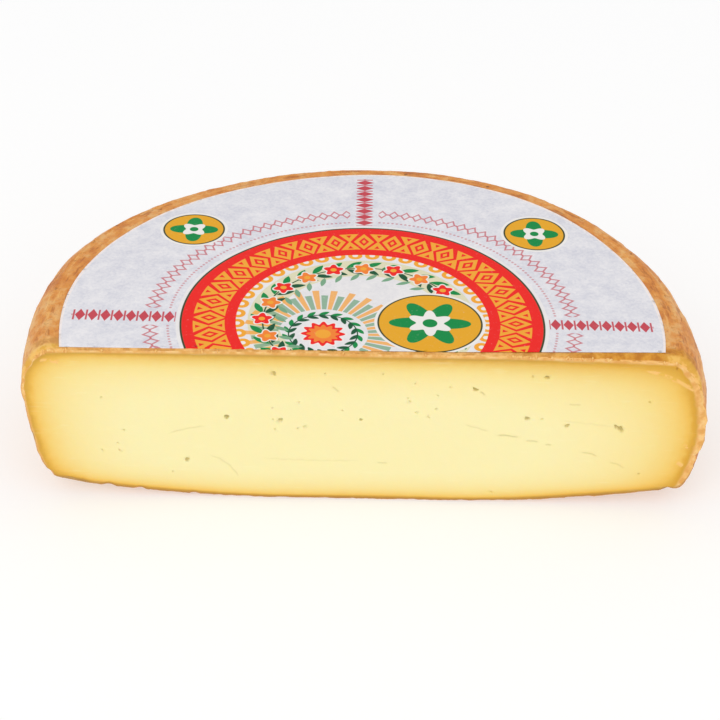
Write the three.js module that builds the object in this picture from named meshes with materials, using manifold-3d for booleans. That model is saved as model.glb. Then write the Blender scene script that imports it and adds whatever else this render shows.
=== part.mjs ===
// Raclette half wheel: a washed-rind wheel cut a little in front of its middle, with a paper label
// on its top. Millimetres, +Z up. Every shape is worked out about the wheel's own axis (x = y = 0,
// floor at z = 0, cut face towards -Y); at the end the group moves so that its origin lies under
// the middle of the whole.
import * as THREE from "three";
import { mergeVertices } from "three/addons/utils/BufferGeometryUtils.js";
import Module from "manifold-3d";

const wasm = await Module();
wasm.setup();

const { clamp, degToRad, lerp, smoothstep } = THREE.MathUtils;

// The wheel
const WHEEL_HEIGHT = 79;
const SHOULDER_RADIUS = 138.5;
const TREAD_RADIUS = 139.5;
const CROWN_DROP = 0.8;
const CROWN_POWER = 20;
const WHEEL_SIDES = 96;

// The top rises and falls slowly on the way round: how far at the label's edge, how many times in
// a full turn, and the angle where it is highest. It starts behind the cut.
const RIM_RISE = 1.2;
const RISE_TURNS = 3.15;
const RISE_AT = degToRad(57);
const RISE_ENDS = 20;

// The bulging side at the right end of the cut, from the shoulder down to the bottom corner
const SIDE_POINTS = [
  [SHOULDER_RADIUS, 78.2],
  [143.6, 74.2],
  [147.2, 67.7],
  [149.8, 59.2],
  [151.7, 51.5],
  [152.5, 40.0],
  [151.8, 31.0],
  [150.1, 22.5],
  [147.6, 15.0],
  [144.4, 9.8],
  [TREAD_RADIUS, 8.4],
];
const SIDE_STEPS = 13;
const TOP_STATIONS = [0, 36, 72, 98, 116, 129];
const UNDER_STATIONS = [0, 46, 66, 88, 104, 118, 129];

// The left end leans in below its widest line, by this much at its foot
const LEFT_LEAN = 5.5;
const LEAN_FROM = 68;
const LEAN_TO = 30;

// Behind the left end the wheel bulges out, from this angle on
const LEFT_BULGE = 1.7;
const BULGE_FROM = degToRad(95);

// The underside is flat in the middle and towards the back, and lifts to the rim
const FLAT_AT_CUT = 46;
const FLAT_AT_BACK = 88;
const RIM_LIFT = 8.4;
const LIFT_POWER = 1.8;

// Unevenness of the rind. Long waves run round the rim: times in a full turn, start and height.
// Shallow crags cross them: times in a full turn, turn for each millimetre up, and start.
const RIM_START = 100;
const RIM_WAVES = [
  [3, 0.4, 0.47],
  [7, 2.0, 0.23],
];
const CRAG_DEPTH = 0.15;
const CRAGS = [
  [13, 0.11, 1.1],
  [21, -0.17, 0],
  [5, 0.25, 0],
];

// The cut
const FACE_Y = -25;
const FACE_WAVE = 0.3;
const FACE_WAVE_LENGTH = 92;
const FACE_WAVE_HEIGHT = 57;
const CUTTER_WIDTH = 340;
const CUTTER_DEPTH = 160;
const CUTTER_HEIGHT = 110;
const CUTTER_BELOW = 15;
const CUTTER_CELL = 14;

// The top edge of the cut is rounded off: a little in the middle, more at its left end, and most
// at its right end. Each pair is how far that goes back and down. The wedge that does it is given
// in such depths and drops, and its slanting side runs through (0, -1) and (1, 0).
const EDGE_MIDDLE = [1.1, 1.5];
const EDGE_LEFT = [1.8, 2.8];
const EDGE_RIGHT = [2.7, 5.2];
const EDGE_TURN = 60;
const EDGE_LEFT_END = 126;
const EDGE_RIGHT_END = 144;
const EDGE_REACH = 143;
const EDGE_STEPS = 44;
const WEDGE = [[-1, -2], [2, 1], [1, 9], [-9, 9], [-9, -2]];

// Eyes and slits in the cut face: x, z, half width, half height, depth, tilt in degrees
const EYES = [
  [-58.6, 44.2, 1.3, 1.2, 1.8, 0],
  [-37.2, 67.8, 0.8, 1.4, 1.2, 8],
  [49.3, 61.6, 1.3, 0.9, 1.5, -35],
  [112.9, 41.8, 2.9, 1.1, 2.0, -41],
  [-76.4, 20.7, 1.1, 0.9, 1.2, 0],
  [0.3, 44.2, 1.0, 0.8, 1.2, 0],
  [-34.8, 43.4, 1.0, 0.8, 1.2, 15],
  [72.3, 46.5, 1.3, 0.9, 1.4, 20],
  [90.3, 42.9, 1.2, 0.7, 1.2, 25],
  [79.4, 68.0, 1.2, 0.9, 1.3, 0],
];
const EYE_DETAIL = 1;

// Torn places along the cut's outline: pits bitten out of it, and flakes of rind that stand up on
// it. Those on the top and bottom edges give x, those on the two ends a side (1 right) and z, and
// then each gives its half length along the edge, its half height across it and its half depth.
const BOTTOM_PITS = [
  [-129.5, 3.2, 1.5, 2.4],
  [-112.0, 3.6, 1.1, 2.2],
  [-97.5, 3.0, 1.0, 2.0],
  [-74.0, 2.6, 0.8, 1.8],
  [137.0, 2.8, 1.2, 2.2],
];
const END_PITS = [
  [-1, 70.5, 2.4, 1.6, 2.6],
  [-1, 11.5, 2.0, 1.4, 2.2],
  [1, 27.0, 2.8, 1.3, 2.2],
];
const TOP_FLAKES = [
  [-136.0, 3.8, 1.3, 1.4],
  [62.0, 4.2, 1.0, 1.2],
  [101.0, 5.0, 1.1, 1.2],
];
const END_FLAKES = [
  [-1, 57.0, 4.6, 1.2, 1.1],
  [-1, 24.0, 3.8, 1.2, 1.0],
  [1, 59.0, 3.4, 1.2, 1.0],
  [1, 47.5, 4.4, 1.3, 1.2],
  [1, 36.0, 3.6, 1.2, 1.1],
];
const FLAKE_SINK = 0.7;

// The label
const LABEL_RADIUS = 132;
const LABEL_GAP = 0.3;
const LABEL_THICKNESS = 0.35;
const LABEL_STATIONS = [36, 72, 98, 116];
const LABEL_FRONT = [
  [-136, -21.4],
  [-103, -23.0],
  [-65, -22.4],
  [-27, -21.2],
  [25, -22.8],
  [60, -22.2],
  [95, -20.0],
  [136, -17.0],
];
const LABEL_FRONT_STEPS = 24;

const MERGE_DISTANCE = 1e-3;

const RIND = new THREE.MeshStandardMaterial({ color: "#d0915c", roughness: 0.62, metalness: 0 });
const PAPER = new THREE.MeshStandardMaterial({ color: "#dddce2", roughness: 0.8, metalness: 0 });

// 0 at the right end of the cut, 1 at its left end
function leftness(x, y) {
  const radius = Math.hypot(x, y) || 1;
  return (1 - x / radius) / 2;
}

function topHeight(x, y) {
  const radius = Math.hypot(x, y);
  const angle = Math.atan2(y, x);
  const turned = (angle < -Math.PI / 2 ? angle + 2 * Math.PI : angle) - RISE_AT;
  const crown = CROWN_DROP * (radius / SHOULDER_RADIUS) ** CROWN_POWER;
  const swell = RIM_RISE * (radius / LABEL_RADIUS) ** 2 * smoothstep(y, FACE_Y, RISE_ENDS);
  return WHEEL_HEIGHT - crown + swell * Math.cos(RISE_TURNS * turned);
}

function underHeight(radius, angle) {
  const back = Math.max(0, Math.sin(angle)) ** 2;
  const flat = lerp(FLAT_AT_CUT, FLAT_AT_BACK, back);
  const out = clamp((radius - flat) / (TREAD_RADIUS - flat), 0, 1);
  return RIM_LIFT * out ** LIFT_POWER;
}

function rimWave(angle) {
  return RIM_WAVES.reduce((sum, [turns, start, height]) => {
    return sum + height * Math.sin(turns * angle + start);
  }, 0);
}

function crag(angle, z) {
  return CRAGS.reduce((sum, [turns, climb, start]) => {
    return sum + CRAG_DEPTH * Math.sin(turns * angle + climb * z + start);
  }, 0);
}

function leftBulge(x, y) {
  const turned = 2 * (Math.atan2(y, x) - BULGE_FROM);
  return LEFT_BULGE * leftness(x, y) * Math.max(0, Math.sin(turned));
}

// Moves each vertex of a geometry by a rule on its x, y and z
function reshape(geometry, rule) {
  const place = geometry.getAttribute("position");
  for (let i = 0; i < place.count; i += 1) {
    place.setXYZ(i, ...rule(place.getX(i), place.getY(i), place.getZ(i)));
  }
  return geometry;
}

// A plain wheel's point moved to the place that it has on the real, uneven wheel
function unevenWheel(x, y, z) {
  const plain = Math.hypot(x, y);
  const angle = Math.atan2(y, x);
  const rim = smoothstep(plain, RIM_START, SHOULDER_RADIUS);
  const low = 1 - smoothstep(z, LEAN_TO, LEAN_FROM);
  const lean = LEFT_LEAN * leftness(x, y) * low;
  const radius = plain + rim * (rimWave(angle) + crag(angle, z) + leftBulge(x, y) - lean);
  const onTop = z > WHEEL_HEIGHT - 1;
  const below = z < 1;
  const grow = plain > 0 ? radius / plain : 1;
  const newX = x * grow;
  const newY = y * grow;
  if (onTop) {
    return [newX, newY, topHeight(newX, newY)];
  }
  if (below) {
    return [newX, newY, underHeight(plain, angle)];
  }
  const shoulder = topHeight(newX * SHOULDER_RADIUS / radius, newY * SHOULDER_RADIUS / radius);
  const lift = (shoulder - SIDE_POINTS[0][1]) * smoothstep(z, SIDE_POINTS[3][1], SIDE_POINTS[0][1]);
  return [newX, newY, z + lift];
}

function wheelProfile() {
  const side = new THREE.SplineCurve(SIDE_POINTS.map(([r, z]) => new THREE.Vector2(r, z)));
  const under = UNDER_STATIONS.map((r) => new THREE.Vector2(r, 0));
  const top = TOP_STATIONS.map((r) => new THREE.Vector2(r, WHEEL_HEIGHT)).reverse();
  return [...under, ...side.getPoints(SIDE_STEPS).reverse(), ...top];
}

// A closed geometry as a solid, with doubled vertices merged and empty triangles left out
function toSolid(geometry) {
  const bare = geometry.clone();
  bare.deleteAttribute("normal");
  bare.deleteAttribute("uv");
  const merged = mergeVertices(bare, MERGE_DISTANCE);
  const corners = merged.index.array;
  const kept = [];
  for (let i = 0; i < corners.length; i += 3) {
    const [a, b, c] = corners.slice(i, i + 3);
    if (a !== b && b !== c && c !== a) {
      kept.push(a, b, c);
    }
  }
  return new wasm.Manifold(new wasm.Mesh({
    numProp: 3,
    vertProperties: merged.attributes.position.array,
    triVerts: new Uint32Array(kept),
  }));
}

function toGeometry(solid) {
  const mesh = solid.getMesh();
  const geometry = new THREE.BufferGeometry();
  geometry.setAttribute("position", new THREE.BufferAttribute(new Float32Array(mesh.vertProperties), 3));
  geometry.setIndex(new THREE.BufferAttribute(new Uint32Array(mesh.triVerts), 1));
  return geometry;
}

function lathe(profile) {
  return new THREE.LatheGeometry(profile, WHEEL_SIDES).rotateX(Math.PI / 2);
}

function wheelSolid() {
  return toSolid(reshape(lathe(wheelProfile()), unevenWheel));
}

// How far the cut face stands back from its plane, from the knife's own unevenness
function faceWave(x, z) {
  const along = Math.sin(2 * Math.PI * x / FACE_WAVE_LENGTH + 1);
  return FACE_WAVE * along * Math.cos(2 * Math.PI * z / FACE_WAVE_HEIGHT);
}

function knifeSolid() {
  const across = Math.round(CUTTER_WIDTH / CUTTER_CELL);
  const up = Math.round(CUTTER_HEIGHT / CUTTER_CELL);
  const block = new THREE.BoxGeometry(CUTTER_WIDTH, CUTTER_DEPTH, CUTTER_HEIGHT, across, 1, up);
  block.translate(0, FACE_Y - CUTTER_DEPTH / 2, CUTTER_HEIGHT / 2 - CUTTER_BELOW);
  const front = FACE_Y - CUTTER_DEPTH / 2;
  return toSolid(reshape(block, (x, y, z) => [x, y > front ? y + faceWave(x, z) : y, z]));
}

// How far back and down the top edge of the cut is rounded off at x
function edgeRound(x) {
  const left = smoothstep(-x, EDGE_TURN, EDGE_LEFT_END);
  const right = smoothstep(x, EDGE_TURN, EDGE_RIGHT_END);
  return EDGE_MIDDLE.map((middle, i) => {
    return middle + (EDGE_LEFT[i] - middle) * left + (EDGE_RIGHT[i] - middle) * right;
  });
}

// A long wedge whose slanting side rounds off the top edge of the cut
function edgeSolid() {
  const section = new THREE.Shape(WEDGE.map((point) => new THREE.Vector2(...point)));
  const wedge = new THREE.ExtrudeGeometry(section, {
    depth: CUTTER_WIDTH,
    steps: EDGE_STEPS,
    bevelEnabled: false,
  });
  return toSolid(reshape(wedge, (across, up, along) => {
    const x = along - CUTTER_WIDTH / 2;
    const [depth, drop] = edgeRound(x);
    const top = topHeight(clamp(x, -EDGE_REACH, EDGE_REACH), FACE_Y);
    return [x, FACE_Y + across * depth, top + up * drop];
  }));
}

// A low-sided blob
function blob([x, y, z], halfWidth, halfHeight, halfDepth, tilt, detail) {
  const ball = new THREE.IcosahedronGeometry(1, detail);
  ball.scale(halfWidth, halfDepth, halfHeight);
  ball.rotateY(-degToRad(tilt));
  ball.translate(x, y, z);
  return toSolid(ball);
}

function onFace(x, z) {
  return [x, FACE_Y + faceWave(x, z), z];
}

// The place at height z where the rind of one end meets the cut
function endPoint(side, z, sink) {
  const lower = SIDE_POINTS.findIndex((point) => point[1] <= z);
  const [outR, outZ] = SIDE_POINTS[lower];
  const [inR, inZ] = SIDE_POINTS[lower - 1];
  const radius = lerp(outR, inR, (z - outZ) / (inZ - outZ)) - sink;
  const reach = Math.sqrt(radius ** 2 - FACE_Y ** 2);
  return unevenWheel(side * reach, FACE_Y, z);
}

function topPoint(x, sink) {
  return [x, FACE_Y + edgeRound(x)[0], topHeight(x, FACE_Y) - sink];
}

function bottomPoint(x) {
  return [x, FACE_Y, underHeight(Math.hypot(x, FACE_Y), Math.atan2(FACE_Y, x))];
}

function flakeSolids() {
  const top = TOP_FLAKES.map(([x, along, across, deep]) => {
    return blob(topPoint(x, FLAKE_SINK), along, across, deep, 0, 0);
  });
  const ends = END_FLAKES.map(([side, z, along, across, deep]) => {
    return blob(endPoint(side, z, FLAKE_SINK), across, along, deep, 0, 0);
  });
  return [...top, ...ends];
}

function pitSolids() {
  const bottom = BOTTOM_PITS.map(([x, along, across, deep]) => {
    return blob(bottomPoint(x), along, across, deep, 0, 0);
  });
  const ends = END_PITS.map(([side, z, along, across, deep]) => {
    return blob(endPoint(side, z, 0), across, along, deep, 0, 0);
  });
  const eyes = EYES.map(([x, z, width, height, deep, tilt]) => {
    return blob(onFace(x, z), width, height, deep, tilt, EYE_DETAIL);
  });
  return [...bottom, ...ends, ...eyes];
}

function cheeseSolid() {
  let cheese = wheelSolid().subtract(knifeSolid()).subtract(edgeSolid());
  for (const flake of flakeSolids()) {
    cheese = cheese.add(flake);
  }
  for (const pit of pitSolids()) {
    cheese = cheese.subtract(pit);
  }
  return cheese;
}

function labelProfile() {
  const lower = [0, ...LABEL_STATIONS, LABEL_RADIUS].map((r) => new THREE.Vector2(r, 0));
  const upper = lower.map((p) => new THREE.Vector2(p.x, 1)).reverse();
  return [...lower, ...upper];
}

// The part of the label that the knife took with the other half
function labelCutter() {
  const reach = CUTTER_WIDTH / 2;
  const front = new THREE.SplineCurve(LABEL_FRONT.map((point) => new THREE.Vector2(...point)));
  const corners = [new THREE.Vector2(reach, -reach), new THREE.Vector2(-reach, -reach)];
  const outline = new THREE.Shape([...front.getPoints(LABEL_FRONT_STEPS), ...corners]);
  return toSolid(new THREE.ExtrudeGeometry(outline, {
    depth: CUTTER_HEIGHT,
    bevelEnabled: false,
  }));
}

function labelSolid() {
  const sheet = reshape(lathe(labelProfile()), (x, y, z) => {
    return [x, y, topHeight(x, y) + LABEL_GAP + z * LABEL_THICKNESS];
  });
  return toSolid(sheet).subtract(labelCutter());
}

function part(name, solid, material) {
  const mesh = new THREE.Mesh(toGeometry(solid), material);
  mesh.name = name;
  return mesh;
}

const group = new THREE.Group();
group.add(part("cheese", cheeseSolid(), RIND));
group.add(part("label", labelSolid(), PAPER));

const whole = new THREE.Box3().setFromObject(group);
const middle = whole.getCenter(new THREE.Vector3());
group.position.set(-middle.x, -middle.y, -whole.min.z);

export default group;
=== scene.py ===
"""Raclette half wheel: washed rind, cut face and paper label, made round the fixed solids."""
import math

import bmesh
import bpy
import numpy as np
from mathutils import Matrix, Vector, noise
from mathutils.geometry import delaunay_2d_cdt
from mathutils.kdtree import KDTree


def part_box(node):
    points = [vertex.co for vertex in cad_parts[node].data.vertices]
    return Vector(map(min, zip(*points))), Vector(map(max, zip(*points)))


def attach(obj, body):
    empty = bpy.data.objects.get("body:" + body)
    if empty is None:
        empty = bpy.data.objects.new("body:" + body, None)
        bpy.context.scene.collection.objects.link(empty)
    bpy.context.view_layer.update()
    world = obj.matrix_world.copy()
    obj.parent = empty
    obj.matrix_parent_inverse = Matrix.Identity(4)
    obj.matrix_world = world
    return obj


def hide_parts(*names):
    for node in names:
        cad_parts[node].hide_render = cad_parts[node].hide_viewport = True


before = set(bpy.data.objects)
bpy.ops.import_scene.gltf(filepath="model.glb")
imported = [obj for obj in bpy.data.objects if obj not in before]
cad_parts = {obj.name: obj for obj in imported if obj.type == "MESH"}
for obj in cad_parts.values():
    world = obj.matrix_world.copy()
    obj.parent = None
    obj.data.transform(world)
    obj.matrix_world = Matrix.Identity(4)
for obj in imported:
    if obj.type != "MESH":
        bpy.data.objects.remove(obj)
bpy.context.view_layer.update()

MM = 0.001

# The wheel, in millimetres about its own axis, with the floor at z = 0
WHEEL_HEIGHT = 79.0
SHOULDER_RADIUS = 138.5
TREAD_RADIUS = 139.5
CROWN_DROP = 0.8
CROWN_POWER = 20
RIM_RISE = 1.2
RISE_TURNS = 3.15
RISE_AT = math.radians(57)
RISE_ENDS = 20.0
SIDE_POINTS = (
    (SHOULDER_RADIUS, 78.2),
    (143.6, 74.2),
    (147.2, 67.7),
    (149.8, 59.2),
    (151.7, 51.5),
    (152.5, 40.0),
    (151.8, 31.0),
    (150.1, 22.5),
    (147.6, 15.0),
    (144.4, 9.8),
    (TREAD_RADIUS, 8.4),
)
LEFT_LEAN = 5.5
LEAN_FROM = 68.0
LEAN_TO = 30.0
LEFT_BULGE = 1.7
BULGE_FROM = math.radians(95)
FLAT_AT_CUT = 46.0
FLAT_AT_BACK = 88.0
RIM_LIFT = 8.4
LIFT_POWER = 1.8
RIM_START = 100.0
RIM_WAVES = ((3, 0.4, 0.47), (7, 2.0, 0.23))
CRAG_DEPTH = 0.15
CRAGS = ((13, 0.11, 1.1), (21, -0.17, 0.0), (5, 0.25, 0.0))

# The cut face, and how far its edges are rounded back and down
FACE_Y = -25.0
FACE_WAVE = 0.3
FACE_WAVE_LENGTH = 92.0
FACE_WAVE_HEIGHT = 57.0
END_ROUND = 1.3
EDGE_MIDDLE = (1.9, 2.4)
EDGE_LEFT = (2.2, 5.0)
EDGE_RIGHT = (4.3, 9.0)
EDGE_TOP_HEIGHTS = (62.0, 74.5)
EDGE_TURN = 60.0
EDGE_LEFT_END = 126.0
EDGE_RIGHT_END = 144.0
EIGHTH_TURN = math.pi / 4
CUT_ANGLE_PASSES = 6
FACE_WAVE_START = 1
WAVE_FADE = 3.0
# Unevenness of the cut face: height, layer of the noise, and size
FACE_GRAIN = ((0.10, 0.0, 5.0), (0.05, 7.0, 1.9))

# Mesh spacing
CELL = 1.25
FACE_CELL = 1.35
HIDDEN_CELL = 7.0
FINE_STEPS = (0.0, 0.22, 0.5, 0.8, 1.15, 1.55, 2.0, 2.6, 3.3, 4.2, 5.2, 6.3)
FACE_LOOPS = FINE_STEPS[1:9]
CORNER_BLEND = 4
FILL_INSIDE = 1
MERGE_WITHIN = 1e-7
TOP_INNER = 124.0
UNDER_INNER = 129.0

# Eyes in the cut face: x, z, half width, half height, depth, tilt in degrees
EYES = (
    (-58.6, 44.2, 1.3, 1.2, 1.8, 0),
    (-37.2, 67.8, 0.8, 1.4, 1.2, 8),
    (49.3, 61.6, 1.3, 0.9, 1.5, -35),
    (112.9, 41.8, 2.9, 1.1, 2.0, -41),
    (-76.4, 20.7, 1.1, 0.9, 1.2, 0),
    (0.3, 44.2, 1.0, 0.8, 1.2, 0),
    (-34.8, 43.4, 1.0, 0.8, 1.2, 15),
    (72.3, 46.5, 1.3, 0.9, 1.4, 20),
    (90.3, 42.9, 1.2, 0.7, 1.2, 25),
    (79.4, 68.0, 1.2, 0.9, 1.3, 0),
)
EYE_UNEVEN = 0.7
EYE_UNEVEN_SIZE = 1.9
EYE_LAYERS = (3.0, 9.0)
EYE_RINGS = ((0.4, 7), (0.7, 11), (0.9, 15), (1.0, 17), (1.12, 17), (1.4, 14))
# Pinholes: x, z, radius
PINHOLES = (
    (-37.5, 38.0, 0.7),
    (-38.7, 43.3, 0.6),
    (-24.8, 39.8, 0.6),
    (-27.4, 38.6, 0.5),
    (78.9, 46.2, 0.8),
    (73.5, 68.6, 0.7),
    (-15.9, 68.3, 0.6),
    (-26.7, 53.1, 0.5),
    (-38.4, 49.5, 0.5),
    (-7.9, 48.7, 0.6),
    (9.3, 68.2, 0.5),
    (20.3, 56.0, 0.6),
    (21.5, 54.1, 0.6),
    (23.4, 63.3, 0.5),
    (33.2, 57.8, 0.6),
    (32.7, 50.7, 0.7),
    (23.8, 48.6, 0.5),
    (38.0, 62.3, 0.6),
    (29.7, 45.8, 0.6),
    (123.8, 17.4, 0.7),
    (58.8, 5.6, 0.6),
    (124.9, 56.3, 0.6),
    (-112.5, 53.8, 0.7),
    (-106.8, 29.2, 0.5),
    (-113.9, 25.0, 0.5),
    (-106.2, 25.2, 0.6),
    (-103.6, 36.4, 0.5),
    (-83.0, 13.7, 0.6),
)
PINHOLE_DEPTH = 0.6
PINHOLE_SQUASH = 0.85
PINHOLE_RINGS = ((0.6, 7), (1.0, 9), (1.35, 9))
# Fine cracks: x and z of both ends, how far the middle bows up, and the strength
CRACKS = (
    (59.8, 37.0, 69.3, 36.0, 0.2, 1.0),
    (72.5, 34.4, 78.0, 33.9, 0.0, 0.8),
    (81.1, 32.5, 84.0, 32.2, 0.0, 0.8),
    (97.2, 28.8, 104.4, 26.8, 0.4, 0.8),
    (-84.6, 34.7, -67.8, 39.2, 0.6, 0.5),
    (-66.4, 23.4, -53.8, 11.6, 1.8, 0.5),
    (-43.5, 22.2, -0.3, 22.1, -0.8, 0.3),
    (7.4, 20.8, 12.2, 20.9, 0.1, 0.6),
    (89.9, 54.1, 95.3, 53.7, 0.1, 0.6),
    (-12.7, 61.3, -9.5, 58.6, 0.0, 0.8),
    (50.8, 60.3, 53.6, 58.4, 0.3, 1.0),
    (45.6, 42.4, 55.8, 39.1, 0.0, 0.5),
    (86.9, 45.5, 110.1, 42.9, 0.0, 0.25),
    (110.1, 23.7, 117.1, 20.4, 0.3, 0.5),
)
# Torn ridges, given as the cracks are, each with its height in millimetres
RIDGES = (
    (-139.0, 72.6, -129.0, 71.4, 0.5, 0.6),
    (120.0, 73.9, 145.5, 61.5, 1.6, 0.5),
    (141.0, 33.0, 145.5, 32.0, 0.2, 0.3),
    (139.5, 24.0, 143.0, 22.0, 0.2, 0.3),
)
RIDGE_HALF_WIDTH = 1.2
RIDGE_TAPER = (5, 0.2)
CRACK_STEP = 0.8
CRACK_SIDES = (-2.2, -1.0, 0.0, 1.0, 2.2)
CRACK_HALF_WIDTH = 0.36
CRACK_REACH = 1.6
CRACK_DEPTH = 0.4
CRACK_TAPER = (6, 0.15)
CRACK_WOBBLE = 0.12
CRACK_WOBBLE_TURN = 0.9
# Painted shade in the eyes and cracks: how much a crack's depth counts, and the depth at which the
# painted shade is darkest
CRACK_SHADE_GAIN = 2.4
FULL_SHADE_DEPTH = 1.1

# Torn places on the cut's outline: reach, and height, which is negative for a bite. Those on the
# top and bottom edges start with x, those on the ends with a side (1 right) and z.
TORN_TOP = ((-136.0, 3.8, 0.6), (62.0, 4.2, 0.35), (101.0, 5.0, 0.45), (124.0, 4.0, 0.4))
TORN_BOTTOM = (
    (-129.5, 3.6, -1.5),
    (-112.0, 4.0, -1.1),
    (-97.5, 3.4, -1.0),
    (-74.0, 3.0, -0.8),
    (137.0, 3.2, -1.2),
)
TORN_ENDS = (
    (-1, 70.5, 3.0, -1.5),
    (-1, 57.0, 4.8, 0.5),
    (-1, 24.0, 4.0, 0.5),
    (-1, 11.5, 2.6, -1.3),
    (1, 59.0, 3.6, 0.5),
    (1, 47.5, 4.6, 0.6),
    (1, 36.0, 3.8, 0.5),
    (1, 27.0, 3.2, -1.2),
)

# The crumbly lip and the flakes along the cut: places across the face, heights, and shares
LIP_WIDTH = 1.1
LIP_NARROWER_AT_TOP = 0.5
LIP_TURN = (0.0, 60.0)
LIP_LOW_HEIGHTS = (9.0, 26.0)
LIP_TOP_HEIGHTS = (69.0, 75.0)
LIP_LEFT_SHARE = 0.35
LIP_LOW_SHARE = 0.15
LIP_CORNER = (-133.0, 74.0, 6.0)
FLAKES_ABOVE = 74
FLAKES_TURN = (20.0, 80.0)
FLAKES_LEFT_SHARE = 0.05
FLAKES_MORE_AT_RIGHT = 0.2
FLAKES_CORNER = (-134.0, 74.5, 5.0)

# How much of the rind's relief shows: on the cut's edge, and round the label
CUT_LINE_SKIN = 0.8
SKIN_FROM_LABEL = (-1.0, 1.5)
SKIN_BEFORE_FRONT = (2.0, 0.4)

# The label
LABEL_RADIUS = 132.0
LABEL_TRIM = 0.45
LABEL_LIFT = 0.28
LABEL_THICKNESS = 0.13
LABEL_CELL = 1.7
# How the knife and the punch left the label's edge: height and size of the unevenness
FRONT_UNEVEN = (0.22, 2.1)
DISC_WAVE = (0.2, 9)
DISC_UNEVEN = (0.22, 0.7)
LABEL_FRONT = (
    (-136.0, -23.6),
    (-120.0, -23.7),
    (-103.0, -23.4),
    (-69.0, -22.7),
    (-27.0, -21.0),
    (25.0, -22.9),
    (59.0, -22.3),
    (76.0, -21.6),
    (93.0, -20.9),
    (111.0, -20.3),
    (136.0, -19.8),
)

# The camera, from the ellipses of the label and its ring in the 720 pixel frame
IMAGE_PX = 720
CAMERA_ELEVATION = math.radians(34.23)
CAMERA_ROLL = math.radians(1.07)
CAMERA_DISTANCE = 880.4
LABEL_CENTRE_PX = (362.6, 321.4)
PX_PER_MM = 2.2909
SENSOR = 36.0
CLIP_START = 0.05


def wheel_axis():
    """Where the wheel's axis stands in the frame: the label is a disc about it."""
    low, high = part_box("label")
    return Vector(((low.x + high.x) / 2, high.y - LABEL_RADIUS * MM, 0.0))


AXIS = wheel_axis()


def smooth(value, low, high):
    share = np.clip((value - low) / (high - low), 0.0, 1.0)
    return share * share * (3.0 - 2.0 * share)


def leftness(angle):
    return (1.0 - np.cos(angle)) / 2.0


def top_height(x, y):
    radius = np.hypot(x, y)
    angle = np.arctan2(y, x)
    turned = np.where(angle < -math.pi / 2, angle + 2 * math.pi, angle) - RISE_AT
    crown = CROWN_DROP * (radius / SHOULDER_RADIUS) ** CROWN_POWER
    swell = RIM_RISE * (radius / LABEL_RADIUS) ** 2 * smooth(y, FACE_Y, RISE_ENDS)
    return WHEEL_HEIGHT - crown + swell * np.cos(RISE_TURNS * turned)


def under_height(radius, angle):
    back = np.maximum(0.0, np.sin(angle)) ** 2
    flat = FLAT_AT_CUT + (FLAT_AT_BACK - FLAT_AT_CUT) * back
    out = np.clip((radius - flat) / (TREAD_RADIUS - flat), 0.0, 1.0)
    return RIM_LIFT * out**LIFT_POWER


def uneven_radius(plain, angle, z):
    rim = smooth(plain, RIM_START, SHOULDER_RADIUS)
    wave = sum(height * np.sin(turns * angle + start) for turns, start, height in RIM_WAVES)
    crags = sum(CRAG_DEPTH * np.sin(turns * angle + climb * z + start) for turns, climb, start in CRAGS)
    bulge = LEFT_BULGE * leftness(angle) * np.maximum(0.0, np.sin(2 * (angle - BULGE_FROM)))
    lean = LEFT_LEAN * leftness(angle) * (1.0 - smooth(z, LEAN_TO, LEAN_FROM))
    return plain + rim * (wave + crags + bulge - lean)


def on_top(plain, angle):
    radius = uneven_radius(plain, angle, WHEEL_HEIGHT)
    x, y = radius * np.cos(angle), radius * np.sin(angle)
    return x, y, top_height(x, y)


def on_side(plain, angle, z):
    radius = uneven_radius(plain, angle, z)
    x, y = radius * np.cos(angle), radius * np.sin(angle)
    inward = SHOULDER_RADIUS / radius
    shift = top_height(x * inward, y * inward) - SIDE_POINTS[0][1]
    return x, y, z + shift * smooth(z, SIDE_POINTS[3][1], SIDE_POINTS[0][1])


def on_underside(plain, angle):
    radius = uneven_radius(plain, angle, 0.0)
    return radius * np.cos(angle), radius * np.sin(angle), under_height(plain, angle)


def under_flat(x, y):
    return under_height(np.hypot(x, y), math.atan2(y, x))


def spline(points, step):
    """Points about step apart on a smooth curve through the given ones."""
    knots = np.array(points, float)
    padded = np.vstack([knots[:1], knots, knots[-1:]])
    samples = []
    for before, start, end, after in zip(padded, padded[1:], padded[2:], padded[3:]):
        count = max(1, round(float(np.linalg.norm(end - start)) / step))
        for t in np.arange(count) / count:
            leave, arrive = (end - before) / 2, (after - start) / 2
            cubic = 2 * start - 2 * end + leave + arrive
            square = 3 * end - 3 * start - 2 * leave - arrive
            samples.append(((cubic * t + square) * t + leave) * t + start)
    return np.array([*samples, knots[-1]])


def graded(length, step, fine):
    """Places along a length: fine steps at both ends, and even ones between."""
    inner = length - 2 * fine[-1]
    count = max(1, round(inner / step))
    middle = fine[-1] + inner * np.arange(1, count) / count
    return np.array([*fine, *middle, *(length - np.array(fine[::-1]))])


def cut_angle(place, left):
    """The angle at which one row of the rind meets the plane of the cut."""
    radius = SHOULDER_RADIUS
    for _ in range(CUT_ANGLE_PASSES):
        slope = math.asin(FACE_Y / radius)
        angle = math.pi - slope if left else slope
        x, y, _z = place(angle)
        radius = float(np.hypot(x, y))
    return angle


def rind_rows():
    """The rows of the rind from inside the label's edge, over the shoulder, to the underside."""
    rows = []
    for plain in np.arange(TOP_INNER, SHOULDER_RADIUS, CELL):
        rows.append(lambda angle, plain=plain: on_top(plain, angle))
    for plain, z in spline(SIDE_POINTS, CELL):
        rows.append(lambda angle, plain=plain, z=z: on_side(plain, angle, z))
    for plain in np.arange(TREAD_RADIUS - CELL, UNDER_INNER, -CELL):
        rows.append(lambda angle, plain=plain: on_underside(plain, angle))
    return rows


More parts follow.
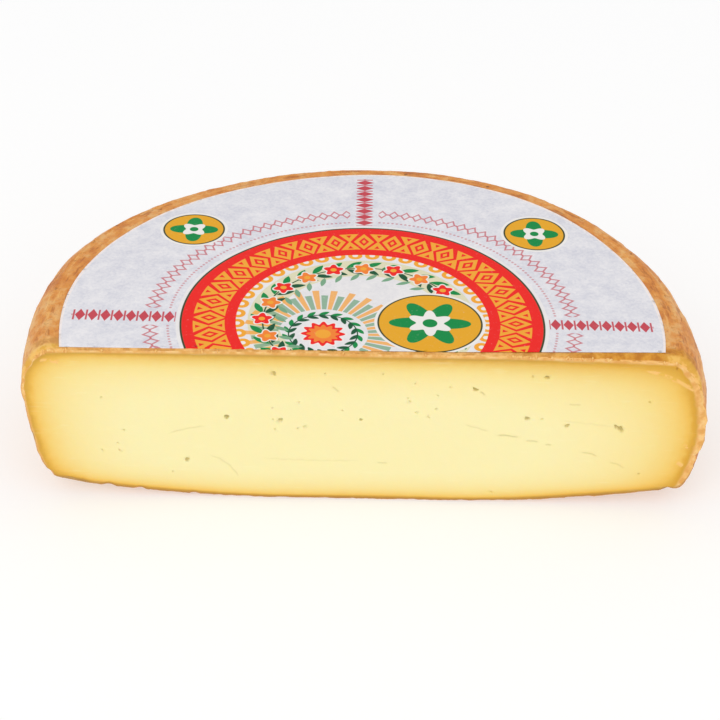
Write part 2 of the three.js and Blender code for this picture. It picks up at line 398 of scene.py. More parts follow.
def rind_grid():
    """Places on the rind's band: one row for each profile place, one column for each step."""
    length = SHOULDER_RADIUS * (math.pi + 2 * math.asin(-FACE_Y / SHOULDER_RADIUS))
    share = graded(length, CELL, FINE_STEPS) / length
    grid = []
    for place in rind_rows():
        start, end = cut_angle(place, False), cut_angle(place, True)
        grid.append(np.stack(place(start + (end - start) * share), axis=-1))
    grid = np.array(grid)
    grid[:, [0, -1], 1] = FACE_Y
    return grid


def even_places(start, end, step):
    count = max(1, round(abs(end - start) / step))
    return start + (end - start) * np.arange(1, count) / count


def hex_places(low, high, cell):
    """Points of a triangular grid that covers a rectangle."""
    rise = cell * math.sqrt(3) / 2
    places = []
    for row, v in enumerate(np.arange(low[1], high[1], rise)):
        for u in np.arange(low[0] + (row % 2) * cell / 2, high[0], cell):
            places.append((u, v))
    return places


def inside(polygon, places):
    """Which places lie inside a closed polygon."""
    x, y = places[:, 0], places[:, 1]
    held = np.zeros(len(places), bool)
    for (ax, ay), (bx, by) in zip(polygon, np.roll(polygon, -1, axis=0)):
        if by != ay:
            held ^= ((ay > y) != (by > y)) & (x < (bx - ax) * (y - ay) / (by - ay) + ax)
    return held


def tree_of(places):
    tree = KDTree(len(places))
    for index, (u, v) in enumerate(places):
        tree.insert((u, v, 0.0), index)
    tree.balance()
    return tree


class Outline:
    """A closed outline in a plane: how far a place is from it, and which way is in."""

    def __init__(self, places):
        self.places = np.array(places)
        self.tree = tree_of(self.places)
        ahead = np.roll(self.places, -1, axis=0) - np.roll(self.places, 1, axis=0)
        ahead /= np.linalg.norm(ahead, axis=1)[:, None]
        self.inward = np.stack([-ahead[:, 1], ahead[:, 0]], axis=-1)
        if np.mean(np.sum((self.places.mean(axis=0) - self.places) * self.inward, axis=1)) < 0:
            self.inward = -self.inward
        shifts = range(-CORNER_BLEND, CORNER_BLEND + 1)
        self.lead = sum(np.roll(self.inward, shift, axis=0) for shift in shifts)
        self.lead /= np.linalg.norm(self.lead, axis=1)[:, None]

    def find(self, u, v):
        """(distance, number of the nearest outline point)"""
        _place, index, straight = self.tree.find((u, v, 0.0))
        offset = np.array((u, v)) - self.places[index]
        return min(straight, abs(float(offset @ self.inward[index]))), index


def triangles_in(places, rim):
    """Triangles between places that fill a closed rim, which is the first places in order."""
    points = [Vector(place) for place in places]
    rims = [list(range(rim))]
    filled = delaunay_2d_cdt(points, [], rims, FILL_INSIDE, MERGE_WITHIN, True)
    _verts, _edges, faces, sources, *_rest = filled
    return [tuple(sources[i][0] for i in face) for face in faces]


def edge_round(x, z):
    """How far back and how far down the cut's edge is rounded at a place on its outline."""
    top = float(smooth(z, *EDGE_TOP_HEIGHTS))
    left = float(smooth(-x, EDGE_TURN, EDGE_LEFT_END))
    right = float(smooth(x, EDGE_TURN, EDGE_RIGHT_END))
    sizes = []
    for middle, at_left, at_right in zip(EDGE_MIDDLE, EDGE_LEFT, EDGE_RIGHT):
        size = middle + (at_left - middle) * left + (at_right - middle) * right
        sizes.append(END_ROUND + (size - END_ROUND) * top)
    return sizes


def edge_sink(x, y):
    """How far the rounded edge of the cut lies below the top at a place."""
    length, depth = edge_round(x, WHEEL_HEIGHT)
    if y - FACE_Y >= length:
        return 0.0
    return depth * (1.0 - math.cos(math.asin(1.0 - (y - FACE_Y) / length)))


def rounded(distance, length, depth):
    """For a place near the cut's outline: (its new distance from it, how far it sinks)."""
    if distance >= length:
        return distance, 0.0
    turn = EIGHTH_TURN * (1.0 - distance / length)
    return length * (1.0 - math.sin(turn)), depth * (1.0 - math.cos(turn))


def face_wave(x, z):
    along = math.sin(2 * math.pi * x / FACE_WAVE_LENGTH + FACE_WAVE_START)
    return FACE_WAVE * along * math.cos(2 * math.pi * z / FACE_WAVE_HEIGHT)


def roughness_at(x, y, z, size):
    return noise.noise(Vector((x / size, y / size, z / size)))


def eye_places(x, z, half_width, half_height, tilt, rings):
    """Rings of places in and round an eye. Each ring is a share of its size, and a count."""
    cos, sin = math.cos(math.radians(tilt)), math.sin(math.radians(tilt))
    places = [(x, z)]
    for share, count in rings:
        for k in range(count):
            turn = 2 * math.pi * k / count
            u, v = half_width * share * math.cos(turn), half_height * share * math.sin(turn)
            places.append((x + u * cos - v * sin, z + u * sin + v * cos))
    return places


def crack_line(x0, z0, x1, z1, bow, size):
    """Places along a crack, each with its share of the way and size, and the direction across."""
    length = math.hypot(x1 - x0, z1 - z0)
    count = max(2, round(length / CRACK_STEP))
    across = Vector((z0 - z1, x1 - x0)) / length
    line = []
    for k in range(count + 1):
        t = k / count
        lift = bow * 4 * t * (1 - t) + CRACK_WOBBLE * math.sin(k * CRACK_WOBBLE_TURN + x0)
        x, z = x0 + (x1 - x0) * t, z0 + (z1 - z0) * t
        line.append((x + across.x * lift, z + across.y * lift, t, size))
    return line, across


def crack_places(crack):
    line, across = crack_line(*crack)
    places = []
    for x, z, _t, _size in line:
        for side in CRACK_SIDES:
            reach = side * CRACK_HALF_WIDTH
            places.append((x + across.x * reach, z + across.y * reach))
    return places


def tapered(t, slope, at_end):
    """How strong a crack or ridge is at a share t of its way: less towards both ends."""
    return min(1.0, slope * min(t, 1 - t) + at_end)


class Hollows:
    """What eyes, pinholes, cracks and torn ridges do to the cut face at a place."""

    def __init__(self):
        self.holes = [*EYES]
        self.holes += [(x, z, size, size * PINHOLE_SQUASH, PINHOLE_DEPTH, 0) for x, z, size in PINHOLES]
        self.lines = [place for crack in CRACKS for place in crack_line(*crack)[0]]
        self.tree = tree_of([(x, z) for x, z, _t, _size in self.lines])
        self.crests = [place for ridge in RIDGES for place in crack_line(*ridge)[0]]
        self.crest_tree = tree_of([(x, z) for x, z, _t, _height in self.crests])

    def hole(self, x, z):
        deepest = 0.0
        x += EYE_UNEVEN * roughness_at(x, EYE_LAYERS[0], z, EYE_UNEVEN_SIZE)
        z += EYE_UNEVEN * roughness_at(x, EYE_LAYERS[1], z, EYE_UNEVEN_SIZE)
        for hole_x, hole_z, width, height, depth, tilt in self.holes:
            if abs(x - hole_x) > width + height or abs(z - hole_z) > width + height:
                continue
            cos, sin = math.cos(math.radians(tilt)), math.sin(math.radians(tilt))
            u = ((x - hole_x) * cos + (z - hole_z) * sin) / width
            v = ((z - hole_z) * cos - (x - hole_x) * sin) / height
            deepest = max(deepest, depth * math.sqrt(max(0.0, 1.0 - u * u - v * v)))
        return deepest

    def crack(self, x, z):
        _place, index, distance = self.tree.find((x, z, 0.0))
        _x, _z, t, size = self.lines[index]
        nearness = max(0.0, 1.0 - distance / (CRACK_HALF_WIDTH * CRACK_REACH))
        return CRACK_DEPTH * size * tapered(t, *CRACK_TAPER) * nearness

    def ridge(self, x, z):
        """(how far the face stands out at a torn ridge, how near its crest the place is)"""
        _place, index, distance = self.crest_tree.find((x, z, 0.0))
        _x, _z, t, height = self.crests[index]
        crest = math.exp(-((distance / RIDGE_HALF_WIDTH) ** 2)) * tapered(t, *RIDGE_TAPER)
        return height * crest, crest


class CheeseMesh:
    """Gathers the places, faces and vertex values of the whole cheese."""

    def __init__(self):
        self.places = []
        self.faces = []
        self.cut_from = 0
        self.values = {"skin": [], "lip": [], "hollow_shade": []}
        self.depths = []

    def add(self, place, skin, lip=0.0, hollow_shade=0.0, depths=(0.0, 0.0, 0.0)):
        self.places.append(tuple(place))
        for name, value in (("skin", skin), ("lip", lip), ("hollow_shade", hollow_shade)):
            self.values[name].append(value)
        self.depths.append(depths)
        return len(self.places) - 1


def near_corner(x, z, corner_x, corner_z, reach):
    return math.exp(-(((x - corner_x) / reach) ** 2) - ((z - corner_z) / reach) ** 2)


def lip_share(x, z, distance):
    """How crumbly the rind is near the cut: most on the right, hardly at all underneath."""
    right = float(smooth(x, *LIP_TURN))
    high = float(smooth(z, *LIP_LOW_HEIGHTS))
    across = LIP_LEFT_SHARE + (1 - LIP_LEFT_SHARE) * right
    upward = LIP_LOW_SHARE + (1 - LIP_LOW_SHARE) * high
    strength = across * upward + near_corner(x, z, *LIP_CORNER)
    width = LIP_WIDTH - LIP_NARROWER_AT_TOP * right * float(smooth(z, *LIP_TOP_HEIGHTS))
    return min(1.0, strength) * math.exp(-((distance / width) ** 2))


def band_normal(grid, row, column):
    """Outward direction of the rind at a grid place, in the plane of the axis."""
    above = grid[max(0, row - CORNER_BLEND), column]
    below = grid[min(len(grid) - 1, row + CORNER_BLEND), column]
    radial = grid[row, column, :2] / np.linalg.norm(grid[row, column, :2])
    run, rise = float((below[:2] - above[:2]) @ radial), float(below[2] - above[2])
    length = math.hypot(run, rise)
    return np.array((*(radial * -rise / length), run / length))


def add_band(cheese, grid):
    """The rind's band, its ends rounded towards the cut. Returns its grid of vertex numbers."""
    rows, columns = grid.shape[:2]
    index = np.zeros((rows, columns), int)
    for row in range(rows):
        for column in range(columns):
            x, y, z = grid[row, column]
            back, drop = edge_round(x, z)
            near, sink = rounded(y - FACE_Y, back, drop)
            place = np.array((x, FACE_Y + near, z)) - band_normal(grid, row, column) * sink
            outside = float(smooth(math.hypot(x, y) - LABEL_RADIUS, *SKIN_FROM_LABEL))
            skin = max(outside, float(z < WHEEL_HEIGHT / 2))
            index[row, column] = cheese.add(place, skin, lip_share(x, z, y - FACE_Y))
    for row in range(rows - 1):
        for column in range(columns - 1):
            corners = index[row:row + 2, column:column + 2]
            cheese.faces.append((corners[0, 0], corners[0, 1], corners[1, 1], corners[1, 0]))
    return index


def add_cut_line(cheese, start, end, height, upward):
    """The cut's edge across the top or the underside. Returns vertex numbers and outline places."""
    numbers, flat = [], []
    for x in even_places(start, end, CELL):
        z = float(height(x, FACE_Y))
        _near, sink = rounded(0.0, *edge_round(x, z))
        near = edge_round(x, z)[0] * (1.0 - math.sin(EIGHTH_TURN))
        place = (x, FACE_Y + near, z - sink * upward)
        numbers.append(cheese.add(place, CUT_LINE_SKIN, lip_share(x, z, 0.0)))
        flat.append((x, z))
    return numbers, flat


def add_flat(cheese, rim_numbers, rim_places, height, upward):
    """The top or the underside inside its rim, with fine rows near the cut."""
    polygon = np.array(rim_places)
    reach = float(np.abs(polygon[:, 0]).max())
    inner = [(x, FACE_Y + step) for step in FINE_STEPS[1:] for x in even_places(-reach, reach, CELL)]
    inner += hex_places((-reach, FACE_Y + FINE_STEPS[-1] + CELL), (reach, reach), HIDDEN_CELL)
    inner = np.array(inner)
    inner = inner[inside(polygon, inner)]
    round_rim = Outline([p for p in polygon if p[1] > FACE_Y])
    kept = [p for p in inner if round_rim.tree.find((*p, 0.0))[2] > CELL / 2]
    numbers = list(rim_numbers)
    for x, y in kept:
        z = float(height(x, y))
        near, sink = rounded(y - FACE_Y, *edge_round(x, z))
        front = float(np.interp(x, *zip(*LABEL_FRONT)))
        bare = 1.0 - float(smooth(y, *(front - gap for gap in SKIN_BEFORE_FRONT)))
        lip = lip_share(x, z, y - FACE_Y)
        numbers.append(cheese.add((x, FACE_Y + near, z - sink * upward), bare, lip))
    for triangle in triangles_in([*map(tuple, polygon), *map(tuple, kept)], len(rim_numbers)):
        cheese.faces.append(tuple(numbers[i] for i in triangle))


def face_places(outline):
    """Places for the cut face: loops inside its outline, eyes, pinholes, cracks and a grid between."""
    special = []
    for x, z, width, height, _depth, tilt in EYES:
        special += eye_places(x, z, width, height, tilt, EYE_RINGS)
    for x, z, size in PINHOLES:
        special += eye_places(x, z, size, size * PINHOLE_SQUASH, 0, PINHOLE_RINGS)
    for line in (*CRACKS, *RIDGES):
        special += crack_places(line)
    special = [place for place in special if outline.find(*place)[0] > FACE_LOOPS[0]]
    taken = tree_of(special)
    loops = []
    for step in FACE_LOOPS:
        loops += [tuple(place) for place in outline.places + outline.inward * step]
    low, high = outline.places.min(axis=0), outline.places.max(axis=0)
    edge = FACE_LOOPS[-1] + FACE_CELL / 2
    chosen = list(special)
    chosen += [p for p in loops if taken.find((*p, 0.0))[2] > CRACK_HALF_WIDTH]
    for place in hex_places(low, high, FACE_CELL):
        if taken.find((*place, 0.0))[2] > FACE_CELL / 2 and outline.find(*place)[0] > edge:
            chosen.append(place)
    chosen = np.array(chosen)
    return chosen[inside(outline.places, chosen)]


class Reach:
    """Depth of a place in the cut face under the top, over the bottom and in from the end."""

    def __init__(self, places):
        top, bottom = places[places[:, 1] > WHEEL_HEIGHT / 2], places[places[:, 1] <= WHEEL_HEIGHT / 2]
        left, right = places[places[:, 0] < 0], places[places[:, 0] >= 0]
        self.top, self.bottom = top[np.argsort(top[:, 0])], bottom[np.argsort(bottom[:, 0])]
        self.left, self.right = left[np.argsort(left[:, 1])], right[np.argsort(right[:, 1])]

    def depths(self, x, z):
        under = np.interp(x, self.top[:, 0], self.top[:, 1]) - z
        over = z - np.interp(x, self.bottom[:, 0], self.bottom[:, 1])
        if x > 0:
            inward = np.interp(z, self.right[:, 1], self.right[:, 0]) - x
        else:
            inward = x - np.interp(z, self.left[:, 1], self.left[:, 0])
        return tuple(max(0.0, float(depth)) for depth in (under, over, inward))


def add_face(cheese, rim_numbers, outline):
    """The cut face: rounded at its outline, wavy from the knife, with its hollows and ridges."""
    hollows = Hollows()
    reach = Reach(outline.places)
    places = face_places(outline)
    numbers = list(rim_numbers)
    for x, z in places:
        distance, at = outline.find(x, z)
        back, drop = edge_round(*outline.places[at])
        near, recess = rounded(distance, drop, back)
        shift = outline.lead[at] * (near - distance)
        hole, crack = hollows.hole(x, z), hollows.crack(x, z)
        fade = min(1.0, distance / WAVE_FADE)
        grain = sum(height * roughness_at(x, layer, z, size) for height, layer, size in FACE_GRAIN)
        raised, crest = hollows.ridge(x, z)
        y = FACE_Y + recess + (face_wave(x, z) + grain) * fade + hole + crack - raised
        # Painted shade: how dark the paste is painted in an eye or crack, from its depth
        dark = min(1.0, (hole + crack * CRACK_SHADE_GAIN) / FULL_SHADE_DEPTH)
        place = (x + shift[0], y, z + shift[1])
        skin = max(0.0, 1.0 - distance)
        lip = max(lip_share(*outline.places[at], distance), crest)
        numbers.append(cheese.add(place, skin, lip, dark, reach.depths(x, z)))
    cheese.cut_from = len(cheese.faces)
    for triangle in triangles_in([*map(tuple, outline.places), *map(tuple, places)], len(rim_numbers)):
        cheese.faces.append(tuple(numbers[i] for i in triangle))


def torn_places(outline):
    """Every torn place as x, z, reach and height."""
    top = [(x, float(top_height(x, FACE_Y)), reach, height) for x, reach, height in TORN_TOP]
    bottom = [(x, float(under_flat(x, FACE_Y)), reach, height) for x, reach, height in TORN_BOTTOM]
    ends = []
    for side, z, reach, height in TORN_ENDS:
        half = outline.places[outline.places[:, 0] * side > 0]
        order = np.argsort(half[:, 1])
        ends.append((float(np.interp(z, half[order, 1], half[order, 0])), z, reach, height))
    return [*top, *bottom, *ends]


def tear(places, outline):
    """Pushes the rim of the cut out at its flakes and in at its bites."""
    for x, z, reach, height in torn_places(outline):
        _place, index, _distance = outline.tree.find((x, z, 0.0))
        inward = outline.inward[index]
        away = np.linalg.norm(places - np.array((x, FACE_Y, z)), axis=1)
        share = np.clip(1.0 - (away / reach) ** 2, 0.0, 1.0) ** 2
        places -= share[:, None] * height * np.array((inward[0], 0.0, inward[1]))
    return places


def cheese_mesh():
    """The whole cheese as one closed mesh in the frame, and the places along the cut's outline."""
    cheese = CheeseMesh()
    grid = rind_grid()
    band = add_band(cheese, grid)
    top_line, top_flat = add_cut_line(cheese, grid[0, -1, 0], grid[0, 0, 0], top_height, 1)
    low_line, low_flat = add_cut_line(cheese, grid[-1, 0, 0], grid[-1, -1, 0], under_flat, -1)

    def level(flat):
        return [(x, FACE_Y) for x, _z in flat]

    add_flat(cheese, [*band[0], *top_line], [*grid[0, :, :2], *level(top_flat)], top_height, 1)
    low_rim = [*band[-1], *low_line[::-1]]
    add_flat(cheese, low_rim, [*grid[-1, :, :2], *level(low_flat[::-1])], under_flat, -1)
    outline = Outline([*grid[:, 0, ::2], *low_flat, *grid[::-1, -1, ::2], *top_flat])
    rim_numbers = [*band[:, 0], *low_line, *band[::-1, -1], *top_line]
    add_face(cheese, rim_numbers, outline)

    places = tear(np.array(cheese.places), outline)
    mesh = bpy.data.meshes.new("cheese_wheel")
    mesh.from_pydata(places * MM + np.array(AXIS), [], cheese.faces)
    for name, values in cheese.values.items():
        layer = mesh.attributes.new(name, "FLOAT", "POINT")
        layer.data.foreach_set("value", np.array(values, np.float32))
    layer = mesh.attributes.new("depths", "FLOAT_VECTOR", "POINT")
    layer.data.foreach_set("vector", np.array(cheese.depths, np.float32).ravel())
    layer = mesh.attributes.new("cut", "BOOLEAN", "FACE")
    layer.data.foreach_set("value", np.arange(len(cheese.faces)) >= cheese.cut_from)
    work = bmesh.new()
    work.from_mesh(mesh)
    bmesh.ops.recalc_face_normals(work, faces=work.faces)
    work.to_mesh(mesh)
    work.free()
    mesh.shade_smooth()
    return mesh, places[rim_numbers]


def add_object(name, data):
    piece = bpy.data.objects.new(name, data)
    bpy.context.scene.collection.objects.link(piece)
    return piece


def settle(piece):
    """Turns a piece with live modifiers into a plain mesh."""
    bpy.context.view_layer.update()
    evaluated = piece.evaluated_get(bpy.context.evaluated_depsgraph_get())
    mesh = bpy.data.meshes.new_from_object(evaluated)
    piece.modifiers.clear()
    piece.data = mesh
    return piece


class Value:
    """One number or vector in a node tree. Arithmetic on numbers adds Math nodes."""

    def __init__(self, tree, socket):
        self.tree = tree
        self.socket = socket

    def math(self, operation, *others):
        sockets = dict(enumerate((self, *others)))
        return self.tree.value("ShaderNodeMath", {"operation": operation}, sockets)

    def __add__(self, other):
        return self.math("ADD", other)

    __radd__ = __add__

    def __sub__(self, other):
        return self.math("SUBTRACT", other)

    def __rsub__(self, other):
        return self.tree.value("ShaderNodeMath", {"operation": "SUBTRACT"}, {0: other, 1: self})

    def __mul__(self, other):
        return self.math("MULTIPLY", other)

    __rmul__ = __mul__

    def __truediv__(self, other):
        return self.math("DIVIDE", other)

    def __neg__(self):
        return self * -1.0

    def __abs__(self):
        return self.math("ABSOLUTE")

    def least(self, other):
        return self.math("MINIMUM", other)

    def most(self, other):
        return self.math("MAXIMUM", other)

    def step(self, low, high):
        """0 at low and 1 at high, smoothly between. low may be above high."""
        first, last = min(low, high), max(low, high)
        start, end = (0.0, 1.0) if low < high else (1.0, 0.0)
        sockets = {"Value": self, "From Min": first, "From Max": last, "To Min": start, "To Max": end}
        return self.tree.value("ShaderNodeMapRange", {"interpolation_type": "SMOOTHSTEP"}, sockets)


class Tree:
    """A node tree, with one method that adds any node."""

    def __init__(self, nodes):
        self.nodes = nodes

    def give(self, socket, given):
        if isinstance(given, Value):
            self.nodes.links.new(given.socket, socket)
        else:
            socket.default_value = given

    def node(self, kind, settings=None, sockets=None):
        made = self.nodes.nodes.new(kind)
        for name, setting in (settings or {}).items():
            if name == "stops":
                self.set_stops(made.color_ramp, setting)
            else:
                setattr(made, name, setting)
        for key, given in (sockets or {}).items():
            self.give(made.inputs[key], given)
        return made

    @staticmethod
    def set_stops(ramp, stops):
        ramp.elements.remove(ramp.elements[-1])
        for number, (place, colour) in enumerate(stops):
            element = ramp.elements[0] if number == 0 else ramp.elements.new(place)
            element.position = place
            element.color = colour

    def value(self, kind, settings=None, sockets=None, output=0):
        return Value(self, self.node(kind, settings, sockets).outputs[output])

    def centred(self, place):
        """Millimetres about the wheel's axis."""
        sockets = {0: place, 1: (1 / MM,) * 3, 2: tuple(-AXIS / MM)}
        return self.value("ShaderNodeVectorMath", {"operation": "MULTIPLY_ADD"}, sockets)

    def parts(self, vector):
        split = self.node("ShaderNodeSeparateXYZ", {}, {0: vector})
        return [Value(self, output) for output in split.outputs]

    def vector(self, x, y, z):
        return self.value("ShaderNodeCombineXYZ", {}, {0: x, 1: y, 2: z})

    def scaled(self, vector, scale):
        return self.value("ShaderNodeVectorMath", {"operation": "MULTIPLY"}, {0: vector, 1: scale})

    def noise(self, vector, size, detail=2.0, roughness=0.5, seed=0.0):
        sockets = {"Vector": vector, "W": seed, "Scale": 1.0 / size}
        sockets.update({"Detail": detail, "Roughness": roughness})
        return self.value("ShaderNodeTexNoise", {"noise_dimensions": "4D"}, sockets)

    def round_rim(self, x, y, z):
        """A vector that runs along the rim, in millimetres, then out and up."""
        along = x.math("ARCTAN2", y) * SHOULDER_RADIUS
        return self.vector(along, (x * x + y * y).math("SQRT"), z)


class Shape(Tree):
    """A Geometry Nodes tree with named sizes. It ends in Realize Instances and Set Material."""

    def __init__(self, name, sizes):
        super().__init__(bpy.data.node_groups.new(name, "GeometryNodeTree"))
        self.add_socket("Geometry", "INPUT", "NodeSocketGeometry")
        self.add_socket("Geometry", "OUTPUT", "NodeSocketGeometry")
        for size in sizes:
            self.add_socket(size, "INPUT", "NodeSocketFloat")
        self.start = self.node("NodeGroupInput")
        self.geometry = self.size("Geometry")

    def add_socket(self, name, direction, kind):
        self.nodes.interface.new_socket(name, in_out=direction, socket_type=kind)

    def size(self, name):
        return Value(self, self.start.outputs[name])

    def attribute(self, name, kind="FLOAT"):
        return self.value("GeometryNodeInputNamedAttribute", {"data_type": kind}, {"Name": name})

    def millimetres(self):
        return self.centred(self.value("GeometryNodeInputPosition"))

    def push_out(self, height):
        """Moves every point out along its normal by a height in millimetres."""
        normal = self.value("GeometryNodeInputNormal")
        sockets = {0: normal, "Scale": height * MM}
        offset = self.value("ShaderNodeVectorMath", {"operation": "SCALE"}, sockets)
        sockets = {"Geometry": self.geometry, "Offset": offset}
        self.geometry = self.value("GeometryNodeSetPosition", {}, sockets)

    def finish(self, material, rest=None, selection=None):
        """Ends the tree. Where rest is given, it covers what the selection leaves."""
        made = self.value("GeometryNodeRealizeInstances", {}, {"Geometry": self.geometry})
        if rest is not None:
            made = self.value("GeometryNodeSetMaterial", {}, {"Geometry": made, "Material": rest})
        sockets = {"Geometry": made, "Material": material}
        if selection is not None:
            sockets["Selection"] = selection
        made = self.value("GeometryNodeSetMaterial", {}, sockets)
        self.node("NodeGroupOutput", {}, {"Geometry": made})
        return self.nodes


def grow(piece, tree, sizes):
    """Adds a Geometry Nodes modifier, with its sizes set by their sockets' identifiers."""
    modifier = piece.modifiers.new(tree.name, "NODES")
    modifier.node_group = tree
    for socket in tree.interface.items_tree:
        if socket.in_out == "INPUT" and socket.name in sizes:
            modifier[socket.identifier] = sizes[socket.name]
    return piece


LUMP_SIZE = 11.0
SMALL_LUMP_SIZE = 3.2
CREASE_SIZE = 2.6
CREASE_STRETCH = (0.22, 1.0, 1.0)
PIT_SPACING = 6.5
CRUMB_SIZE = 4.4
FLAKE_SIZES = ((0.5, 0.25, 0.35), (1.2, 0.6, 0.8))
FLAKE_GRAIN = 0.9
FLAKE_GRAIN_HEIGHT = 0.7
PAPER_WAVE_SIZE = 16.0
PAPER_CRINKLE_SIZE = 4.5


def rind_relief(rind, paste):
    """Lumps, creases and pits on the rind, and a crumbly lip along the cut."""
    t = Shape("rind_relief", ("Lump height", "Crease height", "Pit depth", "Lip height", "Seed"))
    place = t.millimetres()
    x, y, z = t.parts(place)
    along = t.round_rim(x, y, z)
    seed = t.size("Seed")
    small_lumps = t.noise(place, SMALL_LUMP_SIZE, 2.0, 0.5, seed)
    lumps = t.noise(place, LUMP_SIZE, 2.0, 0.55, seed) + small_lumps * 0.6 - 0.8
    creases = t.noise(t.scaled(along, CREASE_STRETCH), CREASE_SIZE, 2.0, 0.6, seed + 3.0) - 0.5
    spots = t.node("ShaderNodeTexVoronoi", {}, {"Vector": place, "Scale": 1 / PIT_SPACING})
    rare = t.parts(Value(t, spots.outputs["Color"]))[0].step(0.62, 0.66)
    pits = Value(t, spots.outputs["Distance"]).step(0.26, 0.10) * rare
    crumbs = t.noise(place, CRUMB_SIZE, 2.0, 0.45, seed + 7.0).step(0.34, 0.66) - 0.4
    skin, lip = t.attribute("skin"), t.attribute("lip")
    rind_height = lumps * t.size("Lump height") + creases * t.size("Crease height")
    rind_height = (rind_height - pits * t.size("Pit depth")) * skin
    t.push_out(rind_height + crumbs * lip * t.size("Lip height"))
    return t.finish(paste, rind, t.attribute("cut", "BOOLEAN"))


def torn_flakes(torn):
    """Small torn flakes that sit along the outline of the cut where it is ragged."""
    t = Shape("torn_flakes", ("Spacing", "Flake length", "Seed"))
    seed = t.size("Seed")
    curve = t.value("GeometryNodeMeshToCurve", {}, {"Mesh": t.geometry})
    sockets = {"Curve": curve, "Length": t.size("Spacing")}
    points = t.value("GeometryNodeResampleCurve", {"mode": "LENGTH"}, sockets)
    ball = t.value("GeometryNodeMeshIcoSphere", {}, {"Radius": 1.0, "Subdivisions": 2})
    chance = t.value("FunctionNodeRandomValue", {"data_type": "FLOAT"}, {"Seed": seed}, 1)
    kept = t.attribute("torn") - chance
    sockets = {0: (0.0, 0.0, 0.0), 1: (2 * math.pi,) * 3, "Seed": seed + 1.0}
    turn = t.value("FunctionNodeRandomValue", {"data_type": "FLOAT_VECTOR"}, sockets)
    sockets = {0: FLAKE_SIZES[0], 1: FLAKE_SIZES[1], "Seed": seed + 2.0}
    scale = t.value("FunctionNodeRandomValue", {"data_type": "FLOAT_VECTOR"}, sockets)
    sockets = {0: scale, "Scale": t.size("Flake length")}
    sized = t.value("ShaderNodeVectorMath", {"operation": "SCALE"}, sockets)
    sockets = {"Points": points, "Selection": kept.math("GREATER_THAN", 0.0), "Instance": ball}
    sockets.update({"Rotation": turn, "Scale": sized})
    flakes = t.value("GeometryNodeInstanceOnPoints", {}, sockets)
    t.geometry = t.value("GeometryNodeRealizeInstances", {}, {"Geometry": flakes})
    t.geometry = t.value("GeometryNodeSetShadeSmooth", {}, {"Geometry": t.geometry})
    t.push_out((t.noise(t.millimetres(), FLAKE_GRAIN, 2.0, 0.5, seed) - 0.5) * FLAKE_GRAIN_HEIGHT)
    return t.finish(torn)


def paper_crinkle(paper):
    """Slight waves in the paper, and finer ones where it is stuck down."""
    t = Shape("paper_crinkle", ("Wave height", "Crinkle height", "Seed"))
    place, seed = t.millimetres(), t.size("Seed")
    waves = t.noise(place, PAPER_WAVE_SIZE, 1.0, 0.5, seed) - 0.5
    crinkles = t.noise(place, PAPER_CRINKLE_SIZE, 2.0, 0.5, seed + 5.0) - 0.5
    t.push_out(waves * t.size("Wave height") + crinkles * t.size("Crinkle height"))
    return t.finish(paper)


def linear(red, green, blue):
    """A colour given as 0 to 255 on screen, as linear light with alpha."""
    shares = [c / 255 for c in (red, green, blue)]
    return (*(s / 12.92 if s <= 0.04045 else ((s + 0.055) / 1.055) ** 2.4 for s in shares), 1.0)


class Shader(Tree):
    """A material made of nodes."""

    def __init__(self, name):
        self.material = bpy.data.materials.new(name)
        self.material.use_nodes = True
        super().__init__(self.material.node_tree)
        self.nodes.nodes.clear()

    def millimetres(self):
        place = self.node("ShaderNodeTexCoord").outputs["Object"]
        return self.centred(Value(self, place))

    def cells(self, vector, size):
        return self.value("ShaderNodeTexVoronoi", {}, {"Vector": vector, "Scale": 1.0 / size})

    def mix(self, share, first, second, kind="MIX"):
        node = self.node("ShaderNodeMix", {"data_type": "RGBA", "blend_type": kind})
        for key, given in ((0, share), (6, first), (7, second)):
            self.give(node.inputs[key], given)
        return Value(self, node.outputs[2])

    def ramp(self, value, stops):
        return self.value("ShaderNodeValToRGB", {"stops": stops}, {"Fac": value})

    def attribute(self, name, output="Fac"):
        return self.value("ShaderNodeAttribute", {"attribute_name": name}, {}, output)

    def bump(self, height, distance, strength):
        sockets = {"Height": height, "Distance": distance * MM, "Strength": strength}
        return self.value("ShaderNodeBump", {}, sockets)

    def finish(self, sockets):
        shader = self.node("ShaderNodeBsdfPrincipled", {}, sockets)
        self.node("ShaderNodeOutputMaterial", {}, {"Surface": Value(self, shader.outputs[0])})
        return self.material


RIND_TONES = (
    (0.36, linear(190, 108, 40)),
    (0.44, linear(212, 132, 56)),
    (0.51, linear(224, 149, 68)),
    (0.58, linear(230, 165, 88)),
    (0.68, linear(228, 178, 114)),
)
STRIP_TONES = (
    (0.40, linear(206, 146, 72)),
    (0.50, linear(226, 170, 92)),
    (0.60, linear(240, 188, 116)),
)
RIGHT_STRIP_TONES = (
    (0.40, linear(190, 120, 22)),
    (0.52, linear(212, 144, 36)),
    (0.62, linear(226, 164, 58)),
)
PALE_SIDE_AND_HIGHLIGHT = linear(238, 184, 112)
PALE_BLOOM = linear(229, 190, 134)
PALE_STREAK = linear(243, 190, 112)
DARK_STREAK = linear(168, 96, 40)
DARK_GRAIN = linear(176, 104, 46)
PIT_BROWN = linear(126, 76, 32)
CORNER_GOLD = linear(226, 172, 66)
CORNER_PALE = linear(242, 192, 100)
RIND_LIP = linear(246, 192, 114)


